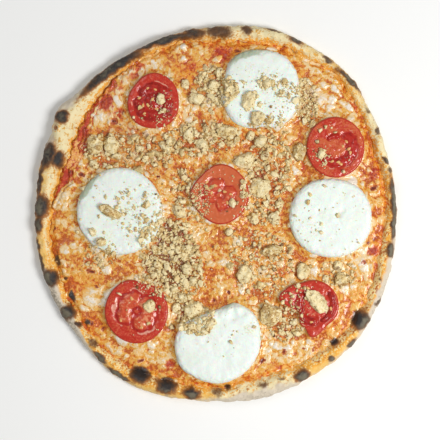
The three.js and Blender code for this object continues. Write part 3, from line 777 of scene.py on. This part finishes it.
def makeCheeseBody():
    def place(ring, angle):
        edge = raggedEdge(cheese, angle)
        radius = filmRadius(cheese, ring, edge)
        x, y = polar(radius, angle)
        patch, _, _, lip = cheesePatches(x, y)
        level = cheeseLevel(x, y) + cheese["patchHeight"] * (patch - 0.5) + cheese["lipHeight"] * lip
        level += cheese["bank"] * smooth(cheese["bankReach"], 0, nearestSlice(x, y))
        size, rise = cheese["grain"]
        level += rise * grain(x, y, 0, size, 2)
        bare = smooth(0.5, -2, around(cheese["overFoot"], angle)) * smooth(2.5, 0, edge - radius)
        height = level + (sauce["top"] + cheese["overSauce"] - level) * bare
        thinning = smooth(5, 0, edge - radius) * (cheese["skin"] + 0.5)
        skin = cheese["skin"] + cheese["skinBreaks"] * grain(x, y, 25, 4, 2) - thinning
        slope = rimHeight(radius, angle) + crustLumps(x, y, height) + skin
        taper = smooth(5, 0.8, edge - radius)
        climbing = np.maximum(height + (slope - height) * taper, slope)
        height = np.where(bare > 0, height, climbing)
        return np.stack([x, y, np.where(ring < 2, cheese["base"], height)], -1)

    return spunBody(cheese["rings"] + 1, cheese["segments"], place)


def cheeseFields(x, y):
    patch, gold, rust, lip = cheesePatches(x, y)
    nearSlice = nearestSlice(x, y)
    halo = smooth(5, 0.5, nearSlice) * smooth(-0.3, 0.5, grain(x, y, 15, 12))
    red = softSpots(cheese["red"], x, y) * smooth(0.95, 0.45, patch) * (1 - lip)
    onRim = smooth(-7, -5, np.hypot(x, y) - footAt(np.arctan2(y, x)))
    return {
        "patch": patch + 0.25 * halo,
        "gold": gold - 0.3 * halo + 0.5 * lip,
        "rust": rust,
        "red": red,
        "char": charAt(x, y)[0] * onRim,
        # walnut dust and painted shade under the crumb fields, less beside the slices
        "dust_and_shade": softSpots(cheese["dust_and_shade"], x, y) * (1 - 0.6 * smooth(4, 0.5, nearSlice)),
    }


cheeseBody = makeCheeseBody()
cheeseLook = cheeseFields(*placesOf(cheeseBody)[:2])
finishPiece("browned_cheese", cheeseBody, mozzarella, ["melted_cheese"], cheeseLook)


# A slice: its wall follows the profile, and its top runs in rings to the middle
def spunSlice(plan, kind, look, insetAt, topAt):
    profile, top, base = slices[kind + "Profile"], slices[kind + "Top"], slices["base"]
    spans = len(profile) - 1
    lastWall = spans * look["wallRings"] + 1

    def place(ring, angle):
        edge, widen = around(plan["outline"], angle), insetAt(angle)
        deepest, stations = slices["furthestIn"] * edge, []
        for inset, rise in profile:
            inward = np.minimum(inset * (widen if rise > slices["wallFoot"] else 1), deepest)
            stations.append((edge - inward, base + rise * (top - base) + 0 * edge))
        along = np.clip((ring - 1) / look["wallRings"], 0, spans)
        radius, height = curveThrough(np.moveaxis(np.array(stations), 1, 2), along).T
        inner = stations[-1][0] * (1 - np.clip((ring - lastWall) / look["topRings"], 0, 1))
        radius = np.where(ring == 0, 0, np.where(ring > lastWall, inner, radius))
        height = np.where(ring == 0, base, height)
        x, y = polar(radius, angle)
        height = height + smooth(0.6, 1, (height - base) / (top - base)) * topAt(x, y)
        return np.stack([x + plan["at"][0], y + plan["at"][1], height], -1)

    return spunBody(lastWall + look["topRings"] + 1, look["segments"], place)


def makeSlices(plans, kind, shape, material, bodyOf, fieldsOf):
    bodies = [bodyOf(plan) for plan in plans]
    for number, (plan, body) in enumerate(zip(plans, bodies), 1):
        fields = fieldsOf(plan, *placesOf(body)[:2])
        finishPiece(f"{kind}_{shape}_{number}", body, material, [f"{kind}_{number}"], fields)
    return bodies


# Ricotta rounds, with relief as [size, height]
ricottaLook = {
    "segments": 220,
    "wallRings": 6,
    "topRings": 22,
    "lumps": [[11, 0.55], [4, 0.2]],
    "wallLumps": [2.6, 0.5],
}


def makeRicottaBody(plan):
    atX, atY = plan["at"]

    def topAt(x, y):
        lumps = sum(height * grain(x + atX, y + atY, 0, size) for size, height in ricottaLook["lumps"])
        for spotX, spotY, radius, height in plan["curds"]:
            lumps = lumps + height * smooth(1.1, 0.2, np.hypot(x - spotX, y - spotY) / radius)
        return lumps

    def insetAt(angle):
        uneven = grain(30 * np.cos(angle) + atX, 30 * np.sin(angle) + atY, 7, 9, 3)
        return 1 + humps(plan["slump"], angle) * (0.8 + 0.8 * uneven)

    body = spunSlice(plan, "ricotta", ricottaLook, insetAt, topAt)
    x, y, z = placesOf(body)
    size, height = ricottaLook["wallLumps"]
    pushOut(body, height * grain(x, y, z, size) * smooth(-9, -2, outsideBy(plan, x, y)))
    return body


def ricottaFields(plan, x, y):
    outside = outsideBy(plan, x, y) + 2 * grain(x, y, 0, 6)
    dx, dy = fromMiddle(plan, x, y)
    slumped = humps(plan["slump"], np.arctan2(dy, dx))
    return {
        # painted shade at the edge, wider and stronger where the wall slumps
        "wall": (0.3 + 0.5 * slumped) * smooth(-3 - 3 * slumped, -0.5 - 2 * slumped, outside),
        "stain": softSpots(plan["stains"], dx, dy),
    }


ricottaBodies = makeSlices(ricottas, "ricotta", "round", curd, makeRicottaBody, ricottaFields)

# Tomato slices: jelly stands in mounds with a moat round them, and the flesh bulges inside the skin
tomatoLook = {
    "segments": 176,
    "wallRings": 4,
    "topRings": 44,
    "moat": 0.7,
    "mound": 1.4,
    "bulge": 0.3,
    "lumps": [3, 0.35],  # relief as [size, height]
    "wander": [7, 0.3],  # unevenness of the jelly's edge as [size, amount]
}


def jellyDepth(plan, x, y):  # 1 in the middle of the jelly, 0 at its edge, below 0 outside
    dx, dy = fromMiddle(plan, x, y)
    angle, radius = np.degrees(np.arctan2(dy, dx)), np.hypot(dx, dy)
    deepest = np.full_like(x, -9.0)
    for middle, halfWidth, start, end in plan["jelly"]:
        turn = (angle - (start + end) / 2 + 180) % 360 - 180
        past = np.radians(np.maximum(np.abs(turn) - (end - start) / 2, 0)) * radius
        deepest = np.maximum(deepest, 1 - np.hypot(radius - middle, past) / halfWidth)
    size, amount = tomatoLook["wander"]
    return deepest + amount * grain(x, y, 0, size, 2)


def makeTomatoBody(plan):
    atX, atY = plan["at"]

    def topAt(x, y):
        depth = jellyDepth(plan, x + atX, y + atY)
        moat = -tomatoLook["moat"] * smooth(-0.2, 0.2, depth)
        mound = tomatoLook["mound"] * smooth(0.1, 0.8, depth)
        share = np.hypot(x, y) / around(plan["outline"], np.arctan2(y, x))
        bulge = tomatoLook["bulge"] * smooth(0.16, 0, np.abs(share - 0.84))
        size, height = tomatoLook["lumps"]
        return moat + mound + bulge + height * grain(x + atX, y, 5, size)

    return spunSlice(plan, "tomato", tomatoLook, np.ones_like, topAt)


def tomatoFields(plan, x, y):
    dx, dy = fromMiddle(plan, x, y)
    depth = jellyDepth(plan, x, y)
    share = np.hypot(dx, dy) / around(plan["outline"], np.arctan2(dy, dx))
    inWall = smooth(0.55, 0.68, share) * smooth(-0.3, 0.3, grain(x, y, 40, 9))
    return {
        "jelly": smooth(-0.15, 0.2, depth) * (1 - 0.5 * plan["warm"]),
        "amber": smooth(0.1, 0.5, depth) * plan["amber"],
        # pale wall and painted highlight along the jelly's edge, in the outer flesh
        "pith_and_highlight": smooth(0.25, 0, np.abs(depth + 0.05)) * inWall,
        "skin": smooth(-1.6, -0.7, outsideBy(plan, x, y)),
        "warm": plan["warm"] + 0.2 * smooth(0.7, 0.3, share) + 0.3 * grain(x, y, 70, 8),
    }


tomatoBodies = makeSlices(tomatoes, "tomato", "slice", tomatoFlesh, makeTomatoBody, tomatoFields)

# Everything loose rests on these
ground = [BVHTree.FromBMesh(body) for body in [cheeseBody, *ricottaBodies, *tomatoBodies]]
overhead = 100  # height from which the ground is felt for


def groundAt(x, y):  # height of the topmost surface, in millimetres, or None off the pizza's top
    start = Vector((x, y, overhead)) * mm
    hits = [tree.ray_cast(start, Vector((0, 0, -1)))[0] for tree in ground]
    heights = [hit.z / mm for hit in hits if hit]
    return max(heights) if heights else None


# A few rough lumps, used over and over at other sizes and turns
lumpLook = {"shapes": 8, "breaks": 9, "breakAt": [0.35, 0.65], "rough": 0.1, "reach": 0.9}


def ball(detail):  # points and faces of a round body
    body = bmesh.new()
    bmesh.ops.create_icosphere(body, subdivisions=detail, radius=1)
    points = np.array([vert.co for vert in body.verts])
    faces = np.array([[vert.index for vert in face.verts] for face in body.faces])
    body.free()
    return points, faces


def lumpShapes(detail, seed):
    draw = np.random.default_rng(seed)
    rough, shapes = lumpLook["rough"] / detail, []
    for _ in range(lumpLook["shapes"]):
        points, faces = ball(detail)
        for normal in draw.normal(size=(lumpLook["breaks"], 3)):  # broken faces
            normal /= np.linalg.norm(normal)
            beyond = np.maximum(points @ normal - draw.uniform(*lumpLook["breakAt"]), 0)
            points -= beyond[:, None] * normal
        uneven = draw.uniform(1 - rough, 1 + rough, (len(points), 1))
        points *= uneven / np.abs(points).max() * lumpLook["reach"]
        shapes.append((points, faces))
    return shapes


def turned(draw, count):  # random turns, as matrices
    quaternions = draw.normal(size=(count, 4))
    w, x, y, z = (quaternions / np.linalg.norm(quaternions, axis=1, keepdims=True)).T
    return np.moveaxis(np.array([
        [1 - 2 * (y * y + z * z), 2 * (x * y - z * w), 2 * (x * z + y * w)],
        [2 * (x * y + z * w), 1 - 2 * (x * x + z * z), 2 * (y * z - x * w)],
        [2 * (x * z - y * w), 2 * (y * z + x * w), 1 - 2 * (x * x + y * y)],
    ]), 2, 0)


# oily sets how dark each piece is low down: oil soaked in, and painted shade
def scatterPiece(name, material, shapes, places, sizes, turns, fields, oily):
    points, faces, owners, feet, start = [], [], [], [], 0
    for number, (place, size, turn, footDarkening) in enumerate(zip(places, sizes, turns, oily)):
        shape, corners = shapes[number % len(shapes)]
        placed = (shape * size) @ turn.T
        points.append(placed + place)
        feet.append(footDarkening * smooth(0.1, -0.8, placed[:, 2] / max(size)))
        faces.append(corners + start)
        owners.append(np.full(len(shape), number))
        start += len(shape)
    mesh = bpy.data.meshes.new(name)
    mesh.from_pydata((np.concatenate(points) * mm).tolist(), [], np.concatenate(faces).tolist())
    owners = np.concatenate(owners)
    looks = {field: np.asarray(values)[owners] for field, values in fields.items()}
    addPiece(mesh, material, {**looks, "foot": np.concatenate(feet)})


# Seeds in the tomato's jelly
seedLook = {
    "size": [1.7, 1.05, 0.6],
    "scale": [0.8, 1.15],
    "taper": 0.35,
    "detail": 3,
    "lift": 0.15,
    "seed": 3,
}


def makeSeeds():
    draw = np.random.default_rng(seedLook["seed"])
    spots = [np.add(plan["at"], spot) for plan in tomatoes for spot in plan["seeds"]]
    places = [[x, y, groundAt(x, y) + seedLook["lift"]] for x, y in spots]
    angles = draw.uniform(0, fullTurn, len(spots))
    turns = [np.array(Matrix.Rotation(angle, 3, "Z")) for angle in angles]
    sizes = [np.array(seedLook["size"]) * scale for scale in draw.uniform(*seedLook["scale"], len(spots))]
    points, faces = ball(seedLook["detail"])
    points[:, 1] *= 1 - seedLook["taper"] * points[:, 0]  # tear shape
    dry = np.zeros(len(spots))
    scatterPiece("tomato_seeds", tomatoSeed, [(points, faces)], places, sizes, turns, {}, dry)


makeSeeds()

# Larger walnut pieces: each solid is remeshed finely and roughened, so that it keeps its form
walnutLook = {
    "voxel": 0.5,
    "settle": 0.7,  # how far its lowest points sink in
    "underside": 1.5,
    "rounding": 2,
    "lump": [7, 0.7],  # relief as [size, height]
    "breaks": [[5.2, 1.4], [2.2, 0.4]],
    "footHeight": [2.4, 0.4],  # from clean to fully oiled and shaded, above what it lies on
    "footOnRicotta": 0.35,
    "boxiness": 3.5,  # 2 leaves a rounded solid as it is
    "tone": [0.2, 0.5],
    "browned": {3: 0.45, 10: 0.3, 13: 0.35, 16: 0.4, 18: 0.5},  # darker pieces, by number
    "seed": 11,
}


def solidOf(node):  # a solid with its corners joined
    body = bmesh.new()
    body.from_mesh(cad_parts[node].data)
    bmesh.ops.remove_doubles(body, verts=body.verts, dist=1e-6)
    return body


def remeshed(body, name):
    mesh = bpy.data.meshes.new(name)
    body.to_mesh(mesh)
    holder = bpy.data.objects.new(name, mesh)
    bpy.context.collection.objects.link(holder)
    remesh = holder.modifiers.new("Remesh", "REMESH")
    remesh.mode = "VOXEL"
    remesh.voxel_size = walnutLook["voxel"] * mm
    finer = bpy.data.meshes.new_from_object(holder.evaluated_get(bpy.context.evaluated_depsgraph_get()))
    bpy.data.objects.remove(holder)
    rough = bmesh.new()
    rough.from_mesh(finer)
    return rough


def squared(body):  # pushes the corners of a rounded solid out inside its own box
    points = np.array([vert.co for vert in body.verts])
    middle = (points.min(0) + points.max(0)) / 2
    flat = (points - middle)[:, :2]
    axes = np.eye(3)
    axes[:2, :2] = np.linalg.svd(flat, full_matrices=False)[2]
    local = (points - middle) @ axes.T
    share = local / np.abs(local).max(0)
    length = np.linalg.norm(share, axis=1)
    power = walnutLook["boxiness"]
    grown = length / np.maximum((np.abs(share) ** power).sum(1) ** (1 / power), 1e-6)
    for vert, spot in zip(body.verts, (middle + (local * grown[:, None]) @ axes).tolist()):
        vert.co = spot


def roughened(body):  # broken, granular surface, and the tone of its broken faces
    everyWay = {f"use_axis_{axis}": True for axis in "xyz"}
    for _ in range(walnutLook["rounding"]):
        bmesh.ops.smooth_vert(body, verts=body.verts, factor=0.5, **everyWay)
    x, y, z = placesOf(body)
    size, height = walnutLook["lump"]
    amount, tone = height * grain(x, y, z, size), np.zeros_like(x)
    for size, height in walnutLook["breaks"]:
        rises, tones = facets(x, y, z, size)
        amount, tone = amount + height * rises, tone + tones
    pushOut(body, amount)
    return tone


def makeWalnuts():
    draw = np.random.default_rng(walnutLook["seed"])
    for name in sorted(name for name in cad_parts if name.startswith("walnut_")):
        solid = solidOf(name)
        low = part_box(name)[0].z
        for vert in solid.verts:
            if vert.co.z < low + walnutLook["underside"] * mm:
                vert.co.z -= walnutLook["settle"] * mm
        squared(solid)
        body = remeshed(solid, name + "_solid")
        browned = walnutLook["browned"].get(int(name[-2:]), 0)
        tone = draw.uniform(*walnutLook["tone"]) + browned + 0.6 * roughened(body)
        x, y, z = placesOf(body)
        skin = 0.55 * smooth(0.1, 0.6, grain(x, y, z, 6) + draw.uniform(-0.25, 0.15))
        oily = walnutLook["footOnRicotta"] if low / mm > slices["tomatoTop"] else 1
        foot = oily * smooth(*walnutLook["footHeight"], z - low / mm)
        fields = {"foot": foot, "skin": skin, "tone": tone}
        finishPiece(name.replace("walnut", "walnut_piece"), body, kernel, [name], fields)


makeWalnuts()

# Crumbs that the solids carry are cut free from them, closed, and roughened in the same way
chunkLook = {"cutAbove": 0.3, "footOnRicotta": 0.3, "tone": 0.3}


def cutCrumbs(node, levelAt):
    body = solidOf(node)
    lower = []
    for face in body.faces:
        x, y, z = face.calc_center_median() / mm
        if z < levelAt(x, y) + chunkLook["cutAbove"]:
            lower.append(face)
    bmesh.ops.delete(body, geom=lower, context="FACES")
    rims = [edge for edge in body.edges if edge.is_boundary]
    for vert in {vert for edge in rims for vert in edge.verts}:
        vert.co.z -= walnutLook["settle"] * mm
    bmesh.ops.holes_fill(body, edges=rims)
    return body


def makeChunks():
    tops = [("ricotta", ricottas, slices["ricottaTop"]), ("tomato", tomatoes, slices["tomatoTop"])]
    carriers = [("melted_cheese", cheeseLevel)]
    for kind, plans, top in tops:
        carriers += [(f"{kind}_{k + 1}", lambda x, y, top=top: top) for k in range(len(plans))]
    whole = bmesh.new()
    for node, levelAt in carriers:
        mesh = bpy.data.meshes.new(node + "_crumbs")
        cutCrumbs(node, levelAt).to_mesh(mesh)
        whole.from_mesh(mesh)
    bmesh.ops.recalc_face_normals(whole, faces=whole.faces)
    body = remeshed(whole, "crumb_solids")
    tone = chunkLook["tone"] + 0.5 * roughened(body)
    x, y, z = placesOf(body)
    level = cheeseLevel(x, y)
    for _, plans, top in tops:
        for plan in plans:
            level = np.where(outsideBy(plan, x, y) < 0, top, level)
    oily = np.where(level == slices["ricottaTop"], chunkLook["footOnRicotta"], 1)
    foot = oily * smooth(*walnutLook["footHeight"], z - level)
    skin = 0.7 * smooth(0.2, 0.6, grain(x, y, z, 5) + 0.1)
    finishPiece("walnut_chunks", body, kernel, (), {"foot": foot, "skin": skin, "tone": tone})


makeChunks()

# Loose lumps, crumbs and meal in ellipses: [x, y, reach along, reach across, degrees, lumps, crumbs, meal]
strewn = {
    "fields": [
        [-72, 51, 38, 16, -5, 50, 100, 190], [-37, -40, 25, 36, 20, 60, 430, 640],
        [-12, 62, 32, 15, 5, 48, 110, 170], [-4, 103, 15, 18, 0, 28, 80, 150], [9, 102, 9, 11, 0, 12, 40, 50],
        [42, 28, 20, 40, -10, 54, 170, 320], [75, 92, 10, 20, 5, 5, 90, 480],
        [38, -42, 28, 28, 0, 14, 120, 300], [-17, -87, 16, 13, -25, 30, 140, 190],
        [-64, 2, 20, 22, 0, 0, 75, 110], [41, 107, 7, 5, 0, 3, 12, 20],
        [56, 102, 10, 7, -10, 4, 20, 50], [44, 98, 22, 22, 0, 0, 14, 90],
        [42, 75, 16, 5, 5, 8, 24, 50], [-44, 85, 13, 16, 0, 0, 10, 90], [-13, 8, 9, 17, 0, 0, 12, 220],
        [70, -70, 17, 10, -20, 2, 14, 60], [-54, -60, 16, 8, -20, 1, 14, 110], [87, 47, 9, 9, 0, 1, 8, 50],
        [102, -50, 16, 12, 0, 8, 45, 130], [58, -90, 16, 17, 0, 12, 60, 190], [-26, 12, 10, 26, 0, 8, 40, 90],
        [-96, -34, 16, 12, 10, 3, 30, 90], [76, -4, 13, 22, 0, 0, 6, 14], [0, 0, 122, 122, 0, 6, 120, 600],
    ],
    "kinds": {  # column of the counts above, sizes, detail and seed
        "walnut_lumps": [5, [5, 8.5], 3, 30],
        "walnut_crumbs": [6, [2.5, 5.6], 2, 21],
        "walnut_meal": [7, [0.9, 2.3], 1, 26],
    },
    "skew": 1.7,  # above 1, small ones outnumber large ones
    "body": [0.58, 0.48, 0.44],  # half length, width and height for a size of 1
    "bodySpread": [0.75, 1.25],
    "sink": 0.3,
    "clearOfEdge": 3,
    "paleShare": 0.94,  # the rest have dark skin
    "footOnRicotta": 0.25,
}


def strewnPlaces(draw, column):
    spots = []
    for row in strewn["fields"]:
        atX, atY, along, across, degrees = row[:5]
        radius, angle = np.sqrt(draw.random(row[column])), fullTurn * draw.random(row[column])
        u, v, turn = along * radius * np.cos(angle), across * radius * np.sin(angle), math.radians(degrees)
        spots.append(np.stack([
            atX + u * math.cos(turn) - v * math.sin(turn), atY + u * math.sin(turn) + v * math.cos(turn),
        ], -1))
    return np.concatenate(spots)


def makeStrewn(name, column, sizeRange, detail, seed):
    draw = np.random.default_rng(seed)
    spots = strewnPlaces(draw, column)
    sizes = sizeRange[0] + (sizeRange[1] - sizeRange[0]) * draw.random(len(spots)) ** strewn["skew"]
    reach = raggedEdge(cheese, np.arctan2(spots[:, 1], spots[:, 0])) - strewn["clearOfEdge"]
    places, kept = [], []
    for number, (x, y) in enumerate(spots.tolist()):
        height = groundAt(x, y)
        if height is not None and math.hypot(x, y) < reach[number]:
            places.append([x, y, height + sizes[number] * (strewn["body"][2] - strewn["sink"])])
            kept.append(number)
    count = len(kept)
    bodies = np.array(strewn["body"]) * sizes[kept][:, None] * draw.uniform(*strewn["bodySpread"], (count, 3))
    dark = draw.random(count) > strewn["paleShare"]
    fields = {
        "tone": draw.uniform(0, 0.9, count),
        "skin": np.where(dark, draw.uniform(0.5, 1, count), 0) * smooth(6, 3, sizes[kept]),
    }
    shapes = lumpShapes(detail, seed + 1)
    onRicotta = np.array(places)[:, 2] > slices["ricottaTop"] - 1
    oily = np.where(onRicotta, strewn["footOnRicotta"], 1)
    scatterPiece(name, kernel, shapes, places, bodies, turned(draw, count), fields, oily)


for kindName, kindPlan in strewn["kinds"].items():
    makeStrewn(kindName, *kindPlan)

# Pale floor, soft light from the lower right and a camera straight above
studio = {
    "floor": "#FAFAF8",
    "floorSize": 4,
    "floorDrop": 0.2,  # below the pizza's underside
    "sky": 0.31,
    "lights": [  # [place in metres, size, power]
        [(0.7, -0.3, 1), 0.45, 11.6],
        [(-0.6, 0.5, 1.1), 0.6, 2.6],
    ],
    "aim": (3.5, -5.8, 8),
    "frameWidth": 365,
    "lens": 100,
    "sensor": 36,
}


def makeStudio():
    mesh = bpy.data.meshes.new("floor")
    body = bmesh.new()
    bmesh.ops.create_grid(body, x_segments=1, y_segments=1, size=studio["floorSize"] / 2)
    body.to_mesh(mesh)
    floor = bpy.data.objects.new("floor", mesh)
    floor.location.z = -studio["floorDrop"] * mm
    bpy.context.collection.objects.link(floor)
    values = {"Roughness": 0.9, "Base Color": linear(studio["floor"])}
    mesh.materials.append(startMaterial("pale floor", values)[0])
    aim = Vector(studio["aim"]) * mm
    for number, (place, size, power) in enumerate(studio["lights"]):
        lamp = bpy.data.lights.new(f"softbox_{number}", "AREA")
        lamp.size, lamp.energy = size, power
        light = bpy.data.objects.new(lamp.name, lamp)
        light.location = place
        light.rotation_euler = (aim - Vector(place)).to_track_quat("-Z", "Y").to_euler()
        bpy.context.collection.objects.link(light)
    world = bpy.data.worlds.new("studio")
    world.use_nodes = True
    world.node_tree.nodes["Background"].inputs["Color"].default_value = (1, 1, 1, 1)
    world.node_tree.nodes["Background"].inputs["Strength"].default_value = studio["sky"]
    bpy.context.scene.world = world
    camera = bpy.data.objects.new("camera", bpy.data.cameras.new("camera"))
    camera.data.lens, camera.data.sensor_width = studio["lens"], studio["sensor"]
    distance = studio["frameWidth"] * studio["lens"] / studio["sensor"] * mm
    camera.location = aim + Vector((0, 0, distance))
    bpy.context.collection.objects.link(camera)
    bpy.context.scene.camera = camera
    bpy.context.scene.view_settings.view_transform = "Standard"
    print("studio made")


makeStudio()
